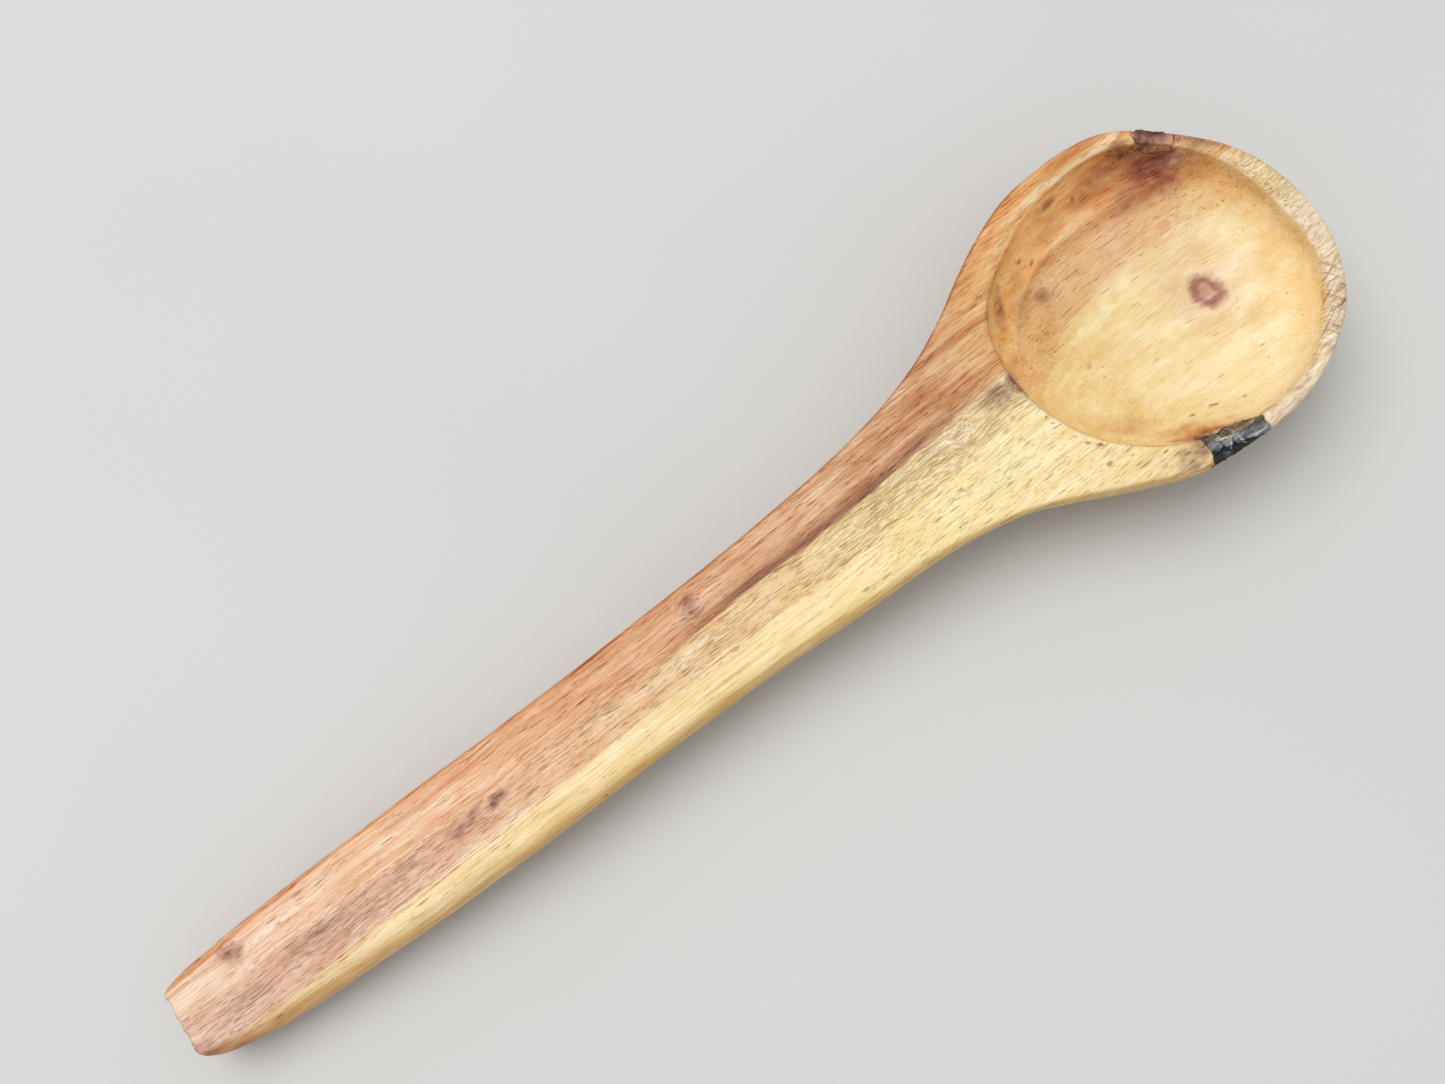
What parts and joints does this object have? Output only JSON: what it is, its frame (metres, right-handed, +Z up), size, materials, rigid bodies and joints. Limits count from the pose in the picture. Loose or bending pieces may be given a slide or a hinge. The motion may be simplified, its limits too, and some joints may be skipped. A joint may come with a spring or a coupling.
{
  "type": "carved wooden spoon",
  "caption": "One-piece hardwood spoon with a long straight handle and a deep round bowl, with ingrown bark and a dead knot showing in the rim; for serving, scooping and stirring.",
  "frame": {"origin": "under the middle of the spoon's bounding box, on the surface the spoon lies on", "axes": "+X along the spoon from the handle end to the bowl tip, +Y across to the heartwood side, +Z up out of the hollow"},
  "size_m": [0.2, 0.052, 0.0175],
  "materials": {
    "wood": "oiled, satin",
    "bark": "rough, dry",
    "knot": "rough, dry"
  },
  "bodies": {
    "root": {"spoon_body": "wood", "bark_inclusion": "bark", "dead_knot": "knot"}
  },
  "joints": []
}
